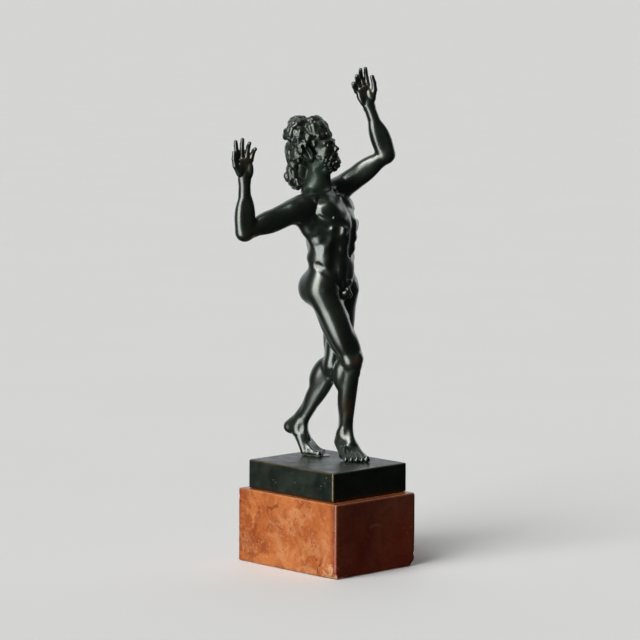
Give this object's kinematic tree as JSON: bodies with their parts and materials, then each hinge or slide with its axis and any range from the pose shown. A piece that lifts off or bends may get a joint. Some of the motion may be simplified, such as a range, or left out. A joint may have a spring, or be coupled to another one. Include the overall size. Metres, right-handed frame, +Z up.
{
  "type": "statuette",
  "caption": "Bronze dancing faun with raised arms, mid step on the balls of the feet, on a low bronze plinth and a red-orange marble block.",
  "frame": {"origin": "centre of the marble block's underside, where the piece stands", "axes": "+Z up; the figure's front is -Y and its left is +X"},
  "size_m": [0.1118, 0.0842, 0.2941],
  "materials": {
    "marble": "polished",
    "plinth_bronze": "dark green-black patina, semi-gloss",
    "figure_bronze": "dark green-black patina, gloss"
  },
  "bodies": {
    "root": {"marble_block": "marble", "bronze_plinth": "plinth_bronze", "faun_figure": "figure_bronze"}
  },
  "joints": []
}
